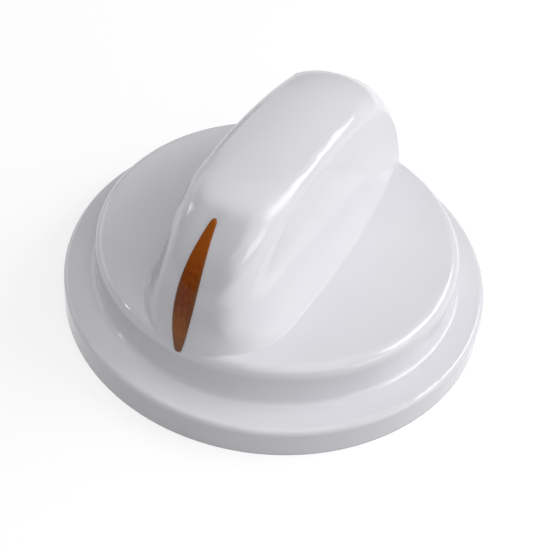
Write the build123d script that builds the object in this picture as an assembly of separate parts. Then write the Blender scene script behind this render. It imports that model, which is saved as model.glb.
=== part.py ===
"""Control knob: a round flanged body with a finger grip, a pointer insert and a hub spring."""
from build123d import *

import os
from math import sqrt

# Flange, millimetres, origin at the centre of the underside, pointer towards -Y
FLANGE_RADIUS = 30.0
FLANGE_TOP_RADIUS = 29.8
FLANGE_HEIGHT = 4.4
FLANGE_EDGE_ROUND = 0.8

# Raised round platform that carries the grip
PLATFORM_FOOT_RADIUS = 25.5
PLATFORM_TOP_RADIUS = 25.2
PLATFORM_HEIGHT = 10.5
PLATFORM_EDGE_ROUND = 1.6
PLATFORM_FOOT_FILLET = 0.8

# Finger grip: nose at the front, tail at the back, crown on top
NOSE_REACH = 25.15
NOSE_FULLNESS = 2.65
TAIL_REACH = 24.9
TAIL_FULLNESS = 2.65
TAIL_BULGE_FOOT = 1.0
TAIL_BULGE_CROWN = 5.4
RIDGE_RISE = 23.5
RIDGE_LIMIT = 0.97
RIDGE_OVER = 0.8
CROWN_HEIGHT = 29.0
RIDGE_BASE = CROWN_HEIGHT - RIDGE_RISE
CROWN_OFFSET = 1.2
CROWN_LENGTH_RADIUS = 60.0
CROWN_CROSS_RADIUS = 22.0
CROWN_HALF_WIDTH = 6.45
CROWN_ROUND = 2.0
CREST_MARGIN = 0.3
UPPER_SHARES = (0.4, 0.7, 0.9)
FLANK_DRAFT = 0.04
FLARE_HEIGHT = 7.6
FLARE_NOSE = 3.0
FLARE_BOW = 1.0
FLARE_CURVE = 1.6
FLANK_BOW = 0.15
GRIP_ROOT_DEPTH = 3.0

# Moulded walls round the hollow underside
FLANGE_WALL = 2.2
FLANGE_TOP_WALL = 2.0
PLATFORM_WALL = 2.2
PLATFORM_TOP_WALL = 2.2
GRIP_WALL = 2.8

# Hub with its D-shaped socket, and the ribs that stiffen it
HUB_RADIUS = 6.6
HUB_RECESS = 1.2
SHAFT_RADIUS = 4.0
SHAFT_ACROSS_FLAT = 6.5
SHAFT_CLEARANCE = 0.05
SOCKET_DEPTH = 16.0
SOCKET_END_WALL = 2.4
SLIT_WIDTH = 1.0
SLIT_DEPTH = 6.0
RIB_COUNT = 4
RIB_FIRST_ANGLE = 45.0
RIB_THICKNESS = 1.4
RIB_RECESS = 3.6

# Spring ring round the split hub
CLIP_THICKNESS = 0.8
CLIP_WIDTH = 3.0
CLIP_RECESS = 1.4
CLIP_GAP = 3.0
CLIP_GROOVE_DEPTH = 0.5
CLIP_SIDE_CLEARANCE = 0.1

# Pointer insert in the nose
POINTER_BOTTOM = 8.25
POINTER_CROWN_GAP = 2.15
POINTER_TOP = CROWN_HEIGHT - POINTER_CROWN_GAP
POINTER_HALF_WIDTH = 1.3
POINTER_TIP_ROUND = 0.4
POINTER_PROUD = 0.15
POINTER_DEPTH = 1.4
POINTER_CLEARANCE = 0.03
PEG_RADIUS = 0.8
PEG_HEIGHT = 17.0
PEG_LENGTH = 2.6


def ridge_reach(height, length, fullness, inset):
    """Distance from the crown's middle to the end of the ridge at a height, straight past its limit."""
    span = CROWN_HEIGHT + RIDGE_OVER - RIDGE_BASE - inset
    run = length - inset
    rise = min(max(height - RIDGE_BASE, 0.0) / span, RIDGE_LIMIT)
    left = 1.0 - rise**fullness
    slope = run / span * rise ** (fullness - 1.0) * left ** (1.0 / fullness - 1.0)
    past = height - RIDGE_BASE - rise * span
    return run * left ** (1.0 / fullness) - slope * past


def nose_reach(height, inset=0.0):
    """Distance from the axis to the front of the grip at a height."""
    return ridge_reach(height, NOSE_REACH + CROWN_OFFSET, NOSE_FULLNESS, inset) - CROWN_OFFSET


def tail_reach(height, inset=0.0):
    """Distance from the axis to the back of the grip at a height."""
    return ridge_reach(height, TAIL_REACH - CROWN_OFFSET, TAIL_FULLNESS, inset) + CROWN_OFFSET


def flare_share(height):
    """Strength of the concave sweep at the foot of the flanks, 1 at the platform and 0 above it."""
    share = max(1.0 - (height - PLATFORM_HEIGHT) / FLARE_HEIGHT, 0.0)
    return share**FLARE_CURVE


def grip_section(height, inset):
    """Outline of the grip at a height, drawn in by a wall thickness."""
    half_width = CROWN_HALF_WIDTH + FLANK_DRAFT * (CROWN_HEIGHT - height) - inset
    nose_half = half_width + FLARE_NOSE * flare_share(height)
    bow = FLANK_BOW + FLARE_BOW * flare_share(height)
    front = nose_reach(height, inset)
    back = tail_reach(height, inset)
    rise = max(height - PLATFORM_HEIGHT, 0.0) / (CROWN_HEIGHT - PLATFORM_HEIGHT)
    bulge = min(TAIL_BULGE_FOOT + (TAIL_BULGE_CROWN - TAIL_BULGE_FOOT) * rise, half_width)
    nose_start = nose_half - front
    tail_end = back - bulge
    middle = (nose_start + tail_end) / 2
    middle_half = (nose_half + half_width) / 2 + bow
    outline = [
        ThreePointArc((-nose_half, nose_start), (0, -front), (nose_half, nose_start)),
        ThreePointArc((nose_half, nose_start), (middle_half, middle), (half_width, tail_end)),
        ThreePointArc((half_width, tail_end), (0, back), (-half_width, tail_end)),
        ThreePointArc((-half_width, tail_end), (-middle_half, middle), (-nose_half, nose_start)),
    ]
    return Plane.XY.offset(height) * make_face(outline)


def grip_form(inset=0.0):
    """Grip sides with the nose and tail, lofted past the crown."""
    flare_top = PLATFORM_HEIGHT + FLARE_HEIGHT
    crest = CROWN_HEIGHT - inset
    heights = [
        PLATFORM_HEIGHT - GRIP_ROOT_DEPTH,
        PLATFORM_HEIGHT,
        PLATFORM_HEIGHT + FLARE_HEIGHT / 3,
        PLATFORM_HEIGHT + FLARE_HEIGHT * 2 / 3,
        flare_top,
    ]
    heights += [flare_top + (crest - flare_top) * share for share in UPPER_SHARES]
    heights.append(crest + CREST_MARGIN)
    return loft([grip_section(height, inset) for height in heights])


def crown_form(inset=0.0):
    """Wheel-shaped solid whose tread is the crown, curved both ways."""
    top = CROWN_HEIGHT - inset
    axle_height = CROWN_HEIGHT - CROWN_LENGTH_RADIUS
    edge = 2 * CROWN_HALF_WIDTH
    edge_drop = CROWN_CROSS_RADIUS - sqrt(CROWN_CROSS_RADIUS**2 - edge**2)
    tread = [
        ThreePointArc((-edge, top - edge_drop), (0, top), (edge, top - edge_drop)),
        Line((edge, top - edge_drop), (edge, axle_height)),
        Line((edge, axle_height), (-edge, axle_height)),
        Line((-edge, axle_height), (-edge, top - edge_drop)),
    ]
    section = Plane.XZ * make_face(tread)
    wheel = revolve(section, Axis((0, 0, axle_height), (1, 0, 0)))
    return Pos(0, CROWN_OFFSET, 0) * wheel


def grip_blank(inset=0.0):
    """Grip with its crown, edges still sharp."""
    return grip_form(inset) & crown_form(inset)


def make_grip(inset=0.0):
    """Grip with a rounded crown."""
    grip = grip_blank(inset)
    crown = grip.faces().sort_by(Axis.Z)[-1]
    return fillet(crown.edges(), CROWN_ROUND)


def make_disc():
    """Flange and platform turned about the axis, as a solid."""
    rims = FilletPolyline(
        (FLANGE_RADIUS, 0),
        (FLANGE_TOP_RADIUS, FLANGE_HEIGHT),
        (PLATFORM_FOOT_RADIUS, FLANGE_HEIGHT),
        (PLATFORM_TOP_RADIUS, PLATFORM_HEIGHT),
        (0, PLATFORM_HEIGHT),
        radius=[FLANGE_EDGE_ROUND, PLATFORM_FOOT_FILLET, PLATFORM_EDGE_ROUND],
    )
    inside = Polyline((0, PLATFORM_HEIGHT), (0, 0), (FLANGE_RADIUS, 0))
    return revolve(Plane.XZ * make_face([rims, inside]), Axis.Z)


def upright(radius, bottom, top):
    """Cylinder on the knob's axis between two heights."""
    return Pos(0, 0, bottom) * extrude(Circle(radius), top - bottom)


def make_hollow():
    """Space under the flange, the platform and the grip."""
    ceiling = PLATFORM_HEIGHT - PLATFORM_TOP_WALL
    under_flange = upright(FLANGE_RADIUS - FLANGE_WALL, 0, FLANGE_HEIGHT - FLANGE_TOP_WALL)
    under_platform = upright(PLATFORM_TOP_RADIUS - PLATFORM_WALL, 0, ceiling)
    return under_flange + under_platform + grip_blank(GRIP_WALL)


def make_ribs():
    """Radial ribs from the hub to the platform wall."""
    ceiling = PLATFORM_HEIGHT - PLATFORM_TOP_WALL
    height = ceiling - RIB_RECESS
    length = PLATFORM_TOP_RADIUS - PLATFORM_WALL
    outline = Pos(length / 2, 0) * Rectangle(length, RIB_THICKNESS)
    rib = Pos(0, 0, RIB_RECESS) * extrude(outline, height)
    turn = 360 / RIB_COUNT
    return Compound([Rot(0, 0, RIB_FIRST_ANGLE + turn * index) * rib for index in range(RIB_COUNT)])


def make_hub():
    """Hub below the platform, carried up between the grip's flanks."""
    top = HUB_RECESS + SOCKET_DEPTH + SOCKET_END_WALL
    lower = upright(HUB_RADIUS, HUB_RECESS, PLATFORM_HEIGHT - PLATFORM_TOP_WALL / 2)
    upper = upright(HUB_RADIUS, HUB_RECESS, top) & grip_form(GRIP_WALL / 2)
    return lower + upper


def make_socket():
    """D-shaped hole for the shaft, flat towards +Y."""
    radius = SHAFT_RADIUS + SHAFT_CLEARANCE
    flat = SHAFT_ACROSS_FLAT - SHAFT_RADIUS + SHAFT_CLEARANCE
    keep = Pos(0, flat - radius) * Rectangle(2 * radius, 2 * radius)
    outline = Circle(radius) & keep
    return extrude(outline, HUB_RECESS + SOCKET_DEPTH)


def make_slits():
    """Cross cut that parts the end of the hub into two jaws."""
    outline = Rectangle(2 * (HUB_RADIUS + CLIP_THICKNESS), SLIT_WIDTH)
    return extrude(outline, HUB_RECESS + SLIT_DEPTH)


def clip_seat_radius():
    """Radius at the bottom of the groove that the spring ring sits in."""
    return HUB_RADIUS - CLIP_GROOVE_DEPTH


def make_groove():
    """Groove round the hub for the spring ring."""
    bottom = HUB_RECESS + CLIP_RECESS - CLIP_SIDE_CLEARANCE
    top = HUB_RECESS + CLIP_RECESS + CLIP_WIDTH + CLIP_SIDE_CLEARANCE
    outer = HUB_RADIUS + CLIP_THICKNESS
    return upright(outer, bottom, top) - upright(clip_seat_radius(), bottom, top)


def make_shaft_clip():
    """Split spring ring that closes the hub's jaws on the shaft."""
    inner = clip_seat_radius()
    outer = inner + CLIP_THICKNESS
    bottom = HUB_RECESS + CLIP_RECESS
    ring = upright(outer, bottom, bottom + CLIP_WIDTH) - upright(inner, bottom, bottom + CLIP_WIDTH)
    opening = Pos(outer, 0, bottom) * extrude(Rectangle(2 * outer, CLIP_GAP), CLIP_WIDTH)
    return ring - opening


def pointer_prism(margin=0.0):
    """Leaf outline of the pointer with a margin all round, carried forward through the nose."""
    middle = (POINTER_BOTTOM + POINTER_TOP) / 2
    length = (POINTER_TOP - POINTER_BOTTOM) / 2
    edge_radius = (length**2 + POINTER_HALF_WIDTH**2) / (2 * POINTER_HALF_WIDTH)
    edge_centre = edge_radius - POINTER_HALF_WIDTH
    half = POINTER_HALF_WIDTH + margin
    tip = sqrt((edge_radius + margin) ** 2 - edge_centre**2)
    leaf = make_face([
        ThreePointArc((0, middle - tip), (half, middle), (0, middle + tip)),
        ThreePointArc((0, middle + tip), (-half, middle), (0, middle - tip)),
    ])
    leaf = fillet(leaf.vertices(), POINTER_TIP_ROUND + margin)
    return extrude(Plane.XZ * leaf, PLATFORM_FOOT_RADIUS)


def make_peg(margin=0.0):
    """Peg behind the pointer, reaching through the nose wall."""
    floor = nose_reach(PEG_HEIGHT) - POINTER_DEPTH
    base = Plane((0, PEG_LENGTH - floor, PEG_HEIGHT), z_dir=(0, -1, 0))
    return extrude(base * Circle(PEG_RADIUS + margin), PEG_LENGTH + POINTER_DEPTH / 2)


def make_pointer():
    """Leaf-shaped pointer that follows the nose, with its peg."""
    leaf = pointer_prism() & make_grip(-POINTER_PROUD)
    leaf -= grip_blank(POINTER_DEPTH)
    return leaf + make_peg()


def make_body():
    """White moulding: flange, platform, grip, hub and ribs."""
    body = make_disc() + make_grip()
    body -= make_hollow()
    body += make_ribs()
    body += make_hub()
    body -= make_socket()
    body -= make_slits()
    body -= make_groove()
    pocket = pointer_prism(POINTER_CLEARANCE) - grip_blank(POINTER_DEPTH)
    body -= pocket
    return body - make_peg(POINTER_CLEARANCE)


os.makedirs("parts", exist_ok=True)
nodes = {
    "knob_body": make_body(),
    "pointer_insert": make_pointer(),
    "shaft_clip": make_shaft_clip(),
}
for name, shape in nodes.items():
    export_step(shape, f"parts/{name}.step")
    print(name, round(shape.volume, 2), shape.is_valid)
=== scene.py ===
"""Looks of a control knob: glossy white moulding, amber pointer and hub spring on a pale studio floor."""
import logging
import math
from dataclasses import dataclass
from enum import Enum

import bpy
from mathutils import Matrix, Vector


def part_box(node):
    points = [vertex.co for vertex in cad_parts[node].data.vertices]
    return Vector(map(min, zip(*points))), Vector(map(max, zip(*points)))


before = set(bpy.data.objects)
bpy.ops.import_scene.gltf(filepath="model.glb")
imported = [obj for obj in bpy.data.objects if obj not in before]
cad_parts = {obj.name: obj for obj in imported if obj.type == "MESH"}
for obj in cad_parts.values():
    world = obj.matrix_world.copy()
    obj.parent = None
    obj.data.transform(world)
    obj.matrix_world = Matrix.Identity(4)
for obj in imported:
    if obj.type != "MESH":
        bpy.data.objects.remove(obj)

MM = 0.001

# The sRGB standard's own figures.
SRGB_FULL = 255
SRGB_KNEE = 0.04045
SRGB_SLOPE = 12.92
SRGB_OFFSET = 0.055
SRGB_POWER = 2.4

# Most values of a noise texture lie between these two.
NOISE_SPAN = (0.3, 0.7)
# Scale of a texture that a Mapping node has already sized.
MAPPED_SCALE = 1.0
# Rays that a Bevel node casts for a small rounding.
EDGE_SAMPLES = 8
# Multipliers that keep only the level or only the upright part of a vector.
LEVEL_PART = (1.0, 1.0, 0.0)
UPRIGHT_PART = (0.0, 0.0, 1.0)

log = logging.getLogger("control_knob")


class Piece(Enum):
    """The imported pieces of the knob."""

    BODY = "knob_body"
    POINTER = "pointer_insert"
    CLIP = "shaft_clip"


def linear(hex_colour: str) -> tuple[float, float, float, float]:
    """Turn an sRGB hex colour into the linear values that a shader takes.

    Args:
        hex_colour: Colour written as "#rrggbb".

    Returns:
        Linear red, green, blue and an alpha of one.
    """
    channels = [int(hex_colour[start:start + 2], 16) / SRGB_FULL for start in (1, 3, 5)]
    red, green, blue = (
        value / SRGB_SLOPE
        if value <= SRGB_KNEE
        else ((value + SRGB_OFFSET) / (1 + SRGB_OFFSET)) ** SRGB_POWER
        for value in channels
    )
    return red, green, blue, 1.0


def per_metre(size_mm: float) -> float:
    """Texture scale at which a pattern repeats about every so many millimetres."""
    return 1.0 / (size_mm * MM)


def noise_range(ends: tuple[float, float]) -> dict[str, float]:
    """Socket values of a Map Range node that spreads a noise between two ends."""
    return {"From Min": NOISE_SPAN[0], "From Max": NOISE_SPAN[1], "To Min": ends[0], "To Max": ends[1]}


def add_node(
    tree: bpy.types.NodeTree,
    kind: str,
    settings: dict[str, object] | None = None,
    values: dict[str | int, object] | None = None,
    links: dict[str | int, bpy.types.NodeSocket] | None = None,
) -> bpy.types.Node:
    """Add a node with its settings, socket values and incoming links.

    Args:
        tree: Node tree that takes the node.
        kind: Blender's name of the node type.
        settings: Properties of the node itself.
        values: Values of its input sockets, by socket name or number.
        links: Output sockets to join to its inputs, by socket name or number.

    Returns:
        The new node.
    """
    node = tree.nodes.new(kind)
    for name, value in (settings or {}).items():
        setattr(node, name, value)
    for name, value in (values or {}).items():
        node.inputs[name].default_value = value
    for name, socket in (links or {}).items():
        tree.links.new(socket, node.inputs[name])
    return node


def set_ramp(node: bpy.types.Node, stops: tuple[tuple[float, str], ...]) -> None:
    """Give a colour ramp its stops.

    Args:
        node: The ramp.
        stops: Places from 0 to 1 with their hex colours.
    """
    elements = node.color_ramp.elements
    while len(elements) < len(stops):
        elements.new(1.0)
    for element, (place, colour) in zip(elements, stops):
        element.position = place
        element.color = linear(colour)


def empty_material(name: str) -> tuple[bpy.types.Material, bpy.types.NodeTree]:
    """Make a material with an empty node tree.

    Args:
        name: The real material's name.

    Returns:
        The material and its node tree.
    """
    material = bpy.data.materials.new(name)
    material.use_nodes = True
    material.node_tree.nodes.clear()
    return material, material.node_tree


def faded_stretch(
    tree: bpy.types.NodeTree,
    fades: tuple[tuple[bpy.types.NodeSocket, tuple[float, float]], ...],
) -> bpy.types.NodeSocket:
    """Mark a stretch of a piece that fades in along one measure or more.

    Args:
        tree: Node tree that takes the nodes.
        fades: Measures in metres, each with the millimetres where the mark starts and where it is full.

    Returns:
        A value of 1 in the stretch and 0 away from it.
    """
    shares = []
    for measure, (start, full) in fades:
        fade = add_node(
            tree,
            "ShaderNodeMapRange",
            {"interpolation_type": "SMOOTHSTEP"},
            {"From Min": start * MM, "From Max": full * MM},
            {"Value": measure},
        )
        shares.append(fade.outputs["Result"])
    mark = shares[0]
    for share in shares[1:]:
        both = add_node(tree, "ShaderNodeMath", {"operation": "MULTIPLY"}, links={0: mark, 1: share})
        mark = both.outputs["Value"]
    return mark


def seen_rays(tree: bpy.types.NodeTree) -> bpy.types.NodeSocket:
    """Tell the rays that show a surround, to the eye or in a gloss, from those that only light the knob.

    Args:
        tree: Node tree that takes the nodes.

    Returns:
        A value of 1 for camera, glossy and transmission rays, else 0.
    """
    path = add_node(tree, "ShaderNodeLightPath")
    seen = path.outputs["Is Camera Ray"]
    for name in ("Is Glossy Ray", "Is Transmission Ray"):
        either = add_node(
            tree, "ShaderNodeMath", {"operation": "MAXIMUM"}, links={0: seen, 1: path.outputs[name]}
        )
        seen = either.outputs["Value"]
    return seen


@dataclass(frozen=True)
class MouldedAbs:
    """Injection-moulded ABS from a polished tool: an even cool white with a high, slightly uneven gloss.

    Heights are over the panel. The pairs of brow and corner give where each starts and where it is full.
    """

    # Faint flow marks in the white, and a gloss that wanders between two roughnesses.
    colour: str = "#e6e6ea"
    flow_colour: str = "#e1e1e6"
    flow_mm: float = 16.0
    gloss: tuple[float, float] = (0.08, 0.12)
    gloss_mm: float = 5.0
    ior: float = 1.54
    # Shallow ripples, which only unsettle the highlights.
    ripple_mm: float = 2.6
    ripple_depth_mm: float = 0.002
    # Fillet at the grip's foot, which gives way to a crisp edge between two heights.
    foot_round_mm: float = 0.5
    foot_height_mm: tuple[float, float] = (12.0, 14.0)
    edge_round_mm: float = 0.05
    # Soft roll of the crown into nose and tail, by height and by distance from the knob's middle.
    brow_round_mm: float = 3.5
    brow_samples: int = 12
    brow_height_mm: tuple[float, float] = (23.5, 26.0)
    brow_reach_mm: tuple[float, float] = (6.0, 11.0)
    # Flat front of the nose, which points along -Y, between soft corners: a higher order is squarer.
    corner_order: int = 2
    corner_height_mm: tuple[float, float] = (10.5, 16.0)
    corner_reach_mm: tuple[float, float] = (-4.0, -13.0)

    def rounded(self, tree: bpy.types.NodeTree, axes: bpy.types.Node) -> bpy.types.NodeSocket:
        """Soften the crease at the grip's foot, and the crown's brow over nose and tail.

        Args:
            tree: Node tree of the plastic.
            axes: Object coordinates, separated.

        Returns:
            The moulding's normal with both roundings.
        """
        radius = add_node(
            tree,
            "ShaderNodeMapRange",
            values={
                "From Min": self.foot_height_mm[0] * MM,
                "From Max": self.foot_height_mm[1] * MM,
                "To Min": self.foot_round_mm * MM,
                "To Max": self.edge_round_mm * MM,
            },
            links={"Value": axes.outputs["Z"]},
        )
        crease = add_node(
            tree, "ShaderNodeBevel", {"samples": EDGE_SAMPLES}, links={"Radius": radius.outputs["Result"]}
        )
        brow = add_node(
            tree, "ShaderNodeBevel", {"samples": self.brow_samples}, {"Radius": self.brow_round_mm * MM}
        )
        reach = add_node(tree, "ShaderNodeMath", {"operation": "ABSOLUTE"}, links={0: axes.outputs["Y"]})
        fades = (axes.outputs["Z"], self.brow_height_mm), (reach.outputs["Value"], self.brow_reach_mm)
        soft = add_node(
            tree,
            "ShaderNodeMixRGB",
            links={
                "Fac": faded_stretch(tree, fades),
                "Color1": crease.outputs["Normal"],
                "Color2": brow.outputs["Normal"],
            },
        )
        return soft.outputs["Color"]

    def cornered(
        self,
        tree: bpy.types.NodeTree,
        axes: bpy.types.Node,
        normal: bpy.types.NodeSocket,
    ) -> bpy.types.NodeSocket:
        """Draw the round nose as a flat front with soft corners, as a squared ellipse has.

        Args:
            tree: Node tree of the plastic.
            axes: Object coordinates, separated.
            normal: Normal of the moulding.

        Returns:
            The normal, turned towards the front or the flank on the nose.
        """
        level = add_node(
            tree, "ShaderNodeVectorMath", {"operation": "MULTIPLY"}, {1: LEVEL_PART}, {0: normal}
        ).outputs["Vector"]
        upright = add_node(
            tree, "ShaderNodeVectorMath", {"operation": "MULTIPLY"}, {1: UPRIGHT_PART}, {0: normal}
        ).outputs["Vector"]
        size = add_node(
            tree, "ShaderNodeVectorMath", {"operation": "LENGTH"}, links={0: level}
        ).outputs["Value"]
        amount = add_node(
            tree, "ShaderNodeVectorMath", {"operation": "ABSOLUTE"}, links={0: level}
        ).outputs["Vector"]
        bent = level
        for _ in range(self.corner_order):
            bent = add_node(
                tree, "ShaderNodeVectorMath", {"operation": "MULTIPLY"}, links={0: bent, 1: amount}
            ).outputs["Vector"]
        unit = add_node(
            tree, "ShaderNodeVectorMath", {"operation": "NORMALIZE"}, links={0: bent}
        ).outputs["Vector"]
        sized = add_node(
            tree, "ShaderNodeVectorMath", {"operation": "SCALE"}, links={0: unit, "Scale": size}
        ).outputs["Vector"]
        squared = add_node(
            tree, "ShaderNodeVectorMath", {"operation": "ADD"}, links={0: sized, 1: upright}
        ).outputs["Vector"]
        fades = (axes.outputs["Z"], self.corner_height_mm), (axes.outputs["Y"], self.corner_reach_mm)
        turned = add_node(
            tree,
            "ShaderNodeMixRGB",
            links={"Fac": faded_stretch(tree, fades), "Color1": normal, "Color2": squared},
        )
        return turned.outputs["Color"]

    def material(self) -> bpy.types.Material:
        """Build the plastic: faint flow marks in the white, a wandering gloss and softened creases."""
        material, tree = empty_material("moulded_white_abs")
        place = add_node(tree, "ShaderNodeTexCoord").outputs["Object"]
        axes = add_node(tree, "ShaderNodeSeparateXYZ", links={"Vector": place})
        flow, polish, ripple = (
            add_node(
                tree, "ShaderNodeTexNoise", values={"Scale": per_metre(size_mm)}, links={"Vector": place}
            ).outputs["Fac"]
            for size_mm in (self.flow_mm, self.gloss_mm, self.ripple_mm)
        )
        white = add_node(tree, "ShaderNodeValToRGB", links={"Fac": flow})
        set_ramp(white, tuple(zip(NOISE_SPAN, (self.colour, self.flow_colour))))
        gloss = add_node(
            tree, "ShaderNodeMapRange", values=noise_range(self.gloss), links={"Value": polish}
        )
        skin = add_node(
            tree,
            "ShaderNodeBump",
            values={"Distance": self.ripple_depth_mm * MM},
            links={"Height": ripple, "Normal": self.cornered(tree, axes, self.rounded(tree, axes))},
        )
        shader = add_node(
            tree,
            "ShaderNodeBsdfPrincipled",
            values={"IOR": self.ior},
            links={
                "Base Color": white.outputs["Color"],
                "Roughness": gloss.outputs["Result"],
                "Normal": skin.outputs["Normal"],
            },
        )
        add_node(tree, "ShaderNodeOutputMaterial", links={"Surface": shader.outputs["BSDF"]})
        return material


@dataclass(frozen=True)
class AmberAcrylic:
    """Tinted acrylic over a white ground, with painted light and shade: deepest in the middle, lighter to
    both tips, and a painted reflection at its rim.
    """

    # Amber tints up the pointer with painted light and shade, from its lower tip at 0 to its upper tip at 1.
    shaded_tints: tuple[tuple[float, str], ...] = (
        (0.0, "#885127"),
        (0.2, "#a05d21"),
        (0.5, "#7c3508"),
        (0.8, "#9b4b0e"),
        (1.0, "#9b5212"),
    )
    # Painted reflection: a duller amber at the pointer's rim.
    rim_reflection: str = "#7b4922"
    # Distances from the pointer's middle line where the painted rim reflection starts and where it is full.
    rim_reach_mm: tuple[float, float] = (0.715, 1.3)
    roughness: float = 0.06
    ior: float = 1.49
    mirror: float = 0.15
    # Streaks along the pointer, which shift the tint up or down by a share of its height.
    streak_mm: float = 0.35
    streak_length_mm: float = 7.0
    streak_shift: float = 0.12
    edge_round_mm: float = 0.25

    def streaked(
        self,
        tree: bpy.types.NodeTree,
        place: bpy.types.NodeSocket,
        along: bpy.types.NodeSocket,
    ) -> bpy.types.NodeSocket:
        """Let the height up the pointer waver in long streaks.

        Args:
            tree: Node tree of the acrylic.
            place: Object coordinates.
            along: Height up the pointer, from 0 to 1.

        Returns:
            The wavering height.
        """
        across = per_metre(self.streak_mm)
        drawn = add_node(
            tree,
            "ShaderNodeMapping",
            values={"Scale": (across, across, per_metre(self.streak_length_mm))},
            links={"Vector": place},
        )
        streaks = add_node(
            tree,
            "ShaderNodeTexNoise",
            values={"Scale": MAPPED_SCALE},
            links={"Vector": drawn.outputs["Vector"]},
        )
        shift = add_node(
            tree,
            "ShaderNodeMapRange",
            values=noise_range((-self.streak_shift, self.streak_shift)),
            links={"Value": streaks.outputs["Fac"]},
        )
        wavering = add_node(
            tree, "ShaderNodeMath", {"operation": "ADD"}, links={0: along, 1: shift.outputs["Result"]}
        )
        return wavering.outputs["Value"]

    def material(self, low_mm: float, high_mm: float) -> bpy.types.Material:
        """Build the acrylic over the height of its own piece.

        Args:
            low_mm: Height of the pointer's lower tip.
            high_mm: Height of its upper tip.

        Returns:
            The material.
        """
        material, tree = empty_material("amber_acrylic")
        place = add_node(tree, "ShaderNodeTexCoord").outputs["Object"]
        axes = add_node(tree, "ShaderNodeSeparateXYZ", links={"Vector": place})
        along = add_node(
            tree,
            "ShaderNodeMapRange",
            values={"From Min": low_mm * MM, "From Max": high_mm * MM},
            links={"Value": axes.outputs["Z"]},
        )
        height = self.streaked(tree, place, along.outputs["Result"])
        # Painted light and shade: the amber is lighter to both tips and deepest in the middle.
        shaded_tint = add_node(tree, "ShaderNodeValToRGB", links={"Fac": height})
        set_ramp(shaded_tint, self.shaded_tints)
        across = add_node(tree, "ShaderNodeMath", {"operation": "ABSOLUTE"}, links={0: axes.outputs["X"]})
        # Painted reflection: towards the rim the amber turns duller.
        colour = add_node(
            tree,
            "ShaderNodeMixRGB",
            values={"Color2": linear(self.rim_reflection)},
            links={
                "Fac": faded_stretch(tree, ((across.outputs["Value"], self.rim_reach_mm),)),
                "Color1": shaded_tint.outputs["Color"],
            },
        )
        edge = add_node(
            tree, "ShaderNodeBevel", {"samples": EDGE_SAMPLES}, {"Radius": self.edge_round_mm * MM}
        )
        shader = add_node(
            tree,
            "ShaderNodeBsdfPrincipled",
            values={"Roughness": self.roughness, "IOR": self.ior, "Specular IOR Level": self.mirror},
            links={"Base Color": colour.outputs["Color"], "Normal": edge.outputs["Normal"]},
        )
        add_node(tree, "ShaderNodeOutputMaterial", links={"Surface": shader.outputs["BSDF"]})
        return material


@dataclass(frozen=True)
class SpringSteel:
    """Rolled spring steel strip: grey metal with a fine grain round the ring."""

    colour: str = "#8d8f92"
    dark: str = "#77797d"
    gloss: tuple[float, float] = (0.26, 0.42)
    # Real grain is finer: this is drawn as coarse as it needs to show.
    grain_mm: float = 0.12
    grain_length_mm: float = 4.0
    grain_detail: float = 4.0
    grain_span: tuple[float, float] = (0.35, 0.65)

    def material(self) -> bpy.types.Material:
        """Build the steel, with its grain in both colour and gloss."""
        material, tree = empty_material("rolled_spring_steel")
        place = add_node(tree, "ShaderNodeTexCoord").outputs["Object"]
        length = per_metre(self.grain_length_mm)
        drawn = add_node(
            tree,
            "ShaderNodeMapping",
            values={"Scale": (length, length, per_metre(self.grain_mm))},
            links={"Vector": place},
        )
        grain = add_node(
            tree,
            "ShaderNodeTexNoise",
            values={"Scale": MAPPED_SCALE, "Detail": self.grain_detail},
            links={"Vector": drawn.outputs["Vector"]},
        ).outputs["Fac"]
        colour = add_node(tree, "ShaderNodeValToRGB", links={"Fac": grain})
        set_ramp(colour, tuple(zip(self.grain_span, (self.dark, self.colour))))
        gloss = add_node(
            tree, "ShaderNodeMapRange", values=noise_range(self.gloss), links={"Value": grain}
        )
        shader = add_node(
            tree,
            "ShaderNodeBsdfPrincipled",
            values={"Metallic": 1.0},
            links={"Base Color": colour.outputs["Color"], "Roughness": gloss.outputs["Result"]},
        )
        add_node(tree, "ShaderNodeOutputMaterial", links={"Surface": shader.outputs["BSDF"]})
        return material


@dataclass(frozen=True)
class PaleSweep:
    """Matt studio paper that shows white and keeps only a faint shadow."""

    colour: str = "#a0a0a2"
    glow: float = 0.7

    def material(self) -> bpy.types.Material:
        """Build the sweep's material: matt paper, lifted to white where the eye or a gloss sees it."""
        material, tree = empty_material("matt_white_sweep")
        strength = add_node(
            tree, "ShaderNodeMath", {"operation": "MULTIPLY"}, {1: self.glow}, {0: seen_rays(tree)}
        )
        paper = add_node(tree, "ShaderNodeBsdfDiffuse", values={"Color": linear(self.colour)})
        lift = add_node(tree, "ShaderNodeEmission", links={"Strength": strength.outputs["Value"]})
        both = add_node(
            tree, "ShaderNodeAddShader", links={0: paper.outputs["BSDF"], 1: lift.outputs["Emission"]}
        )
        add_node(tree, "ShaderNodeOutputMaterial", links={"Surface": both.outputs["Shader"]})
        return material


def dress(piece: bpy.types.Object, material: bpy.types.Material) -> None:
    """Give a piece one material all over.

    Args:
        piece: Object to dress.
        material: Its finish.
    """
    piece.data.materials.clear()
    piece.data.materials.append(material)
    log.info("%s: %s", piece.name, material.name)


@dataclass
class Knob:
    """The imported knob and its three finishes."""

    plastic: MouldedAbs = MouldedAbs()
    acrylic: AmberAcrylic = AmberAcrylic()
    steel: SpringSteel = SpringSteel()

    def pointer_heights(self) -> tuple[float, float]:
        """Heights of the pointer's two tips, in millimetres."""
        low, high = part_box(Piece.POINTER.value)
        return low[2] / MM, high[2] / MM

    def build(self) -> None:
        """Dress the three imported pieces."""
        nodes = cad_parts
        dress(nodes[Piece.BODY.value], self.plastic.material())
        dress(nodes[Piece.POINTER.value], self.acrylic.material(*self.pointer_heights()))
        dress(nodes[Piece.CLIP.value], self.steel.material())


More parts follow.
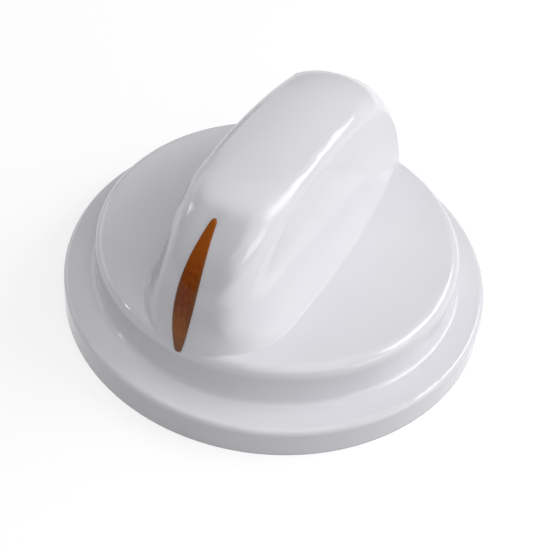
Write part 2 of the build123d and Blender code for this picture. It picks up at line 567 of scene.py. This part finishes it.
@dataclass(frozen=True)
class SoftBox:
    """One rectangular studio lamp, aimed at a point of the knob.

    Angles are in degrees. The azimuth is 0 in front of the nose and 90 on the +X side, and the elevation is
    over the floor. Lengths are in metres, and the radiance is in watts per square metre and steradian.
    """

    name: str
    azimuth: float
    elevation: float
    width: float
    height: float
    radiance: float
    distance: float = 0.5
    aim: tuple[float, float, float] = (0.0, 0.0, 0.012)

    def towards(self) -> Vector:
        """Work out the unit vector from the knob to the lamp."""
        around, up = math.radians(self.azimuth), math.radians(self.elevation)
        return Vector((math.cos(up) * math.sin(around), -math.cos(up) * math.cos(around), math.sin(up)))

    def build(self) -> None:
        """Add the lamp to the scene."""
        data = bpy.data.lights.new(self.name, "AREA")
        data.shape = "RECTANGLE"
        data.size, data.size_y = self.width, self.height
        data.energy = self.radiance * math.pi * self.width * self.height
        lamp = bpy.data.objects.new(self.name, data)
        bpy.context.scene.collection.objects.link(lamp)
        lamp.location = Vector(self.aim) + self.towards() * self.distance
        lamp.rotation_euler = self.towards().to_track_quat("Z", "Y").to_euler()


@dataclass
class Studio:
    """Camera, lamps, world and floor, with places in metres, turns in degrees and the lens in millimetres."""

    camera_place: tuple[float, float, float] = (0.04436, -0.09096, 0.10515)
    camera_turn: tuple[float, float, float] = (44.142, -4.075, 30.178)
    lens: float = 65.455
    sensor: float = 36.0
    near_clip: float = 0.01
    floor_side: float = 20.0
    sky: float = 0.27
    lamps: tuple[SoftBox, ...] = (
        SoftBox("key_box", azimuth=118.0, elevation=38.0, width=0.28, height=0.17, radiance=6.2),
        SoftBox("rear_box", azimuth=148.0, elevation=34.0, width=0.20, height=0.12, radiance=5.0),
        SoftBox("side_box", azimuth=88.0, elevation=15.0, width=0.34, height=0.11, radiance=3.2),
        SoftBox("front_right_box", azimuth=45.0, elevation=45.0, width=0.40, height=0.35, radiance=1.15),
        SoftBox("left_box", azimuth=-95.0, elevation=18.0, width=0.40, height=0.20, radiance=1.2),
        SoftBox("top_box", azimuth=0.0, elevation=88.0, width=0.50, height=0.50, radiance=0.9, distance=0.6),
        SoftBox("glint_lamp", azimuth=-59.8, elevation=24.15, width=0.02, height=0.05, radiance=25.0),
    )

    def add_camera(self) -> None:
        """Add the camera at the photograph's viewing angle."""
        data = bpy.data.cameras.new("camera")
        data.sensor_width = self.sensor
        data.lens = self.lens
        data.clip_start = self.near_clip
        camera = bpy.data.objects.new("camera", data)
        camera.location = self.camera_place
        camera.rotation_euler = [math.radians(angle) for angle in self.camera_turn]
        bpy.context.scene.collection.objects.link(camera)
        bpy.context.scene.camera = camera

    def add_floor(self) -> None:
        """Add the pale floor under the knob."""
        bpy.ops.object.select_all(action="DESELECT")
        bpy.ops.mesh.primitive_plane_add(size=self.floor_side)
        floor = bpy.context.object
        floor.name = "floor"
        dress(floor, PaleSweep().material())

    def add_lamps(self) -> None:
        """Add the soft boxes."""
        for box in self.lamps:
            box.build()

    def add_world(self) -> None:
        """Light the room evenly."""
        world = bpy.data.worlds.new("studio")
        bpy.context.scene.world = world
        world.use_nodes = True
        tree = world.node_tree
        tree.nodes.clear()
        background = add_node(tree, "ShaderNodeBackground", values={"Strength": self.sky})
        add_node(tree, "ShaderNodeOutputWorld", links={"Surface": background.outputs["Background"]})

    def build(self) -> None:
        """Set up the whole studio."""
        bpy.context.scene.view_settings.view_transform = "Standard"
        self.add_camera()
        self.add_floor()
        self.add_lamps()
        self.add_world()


def main() -> None:
    """Dress the knob and set up the studio."""
    logging.basicConfig(level=logging.INFO, format="%(name)s: %(message)s")
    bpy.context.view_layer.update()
    Knob().build()
    Studio().build()


if __name__ == "__main__":
    main()
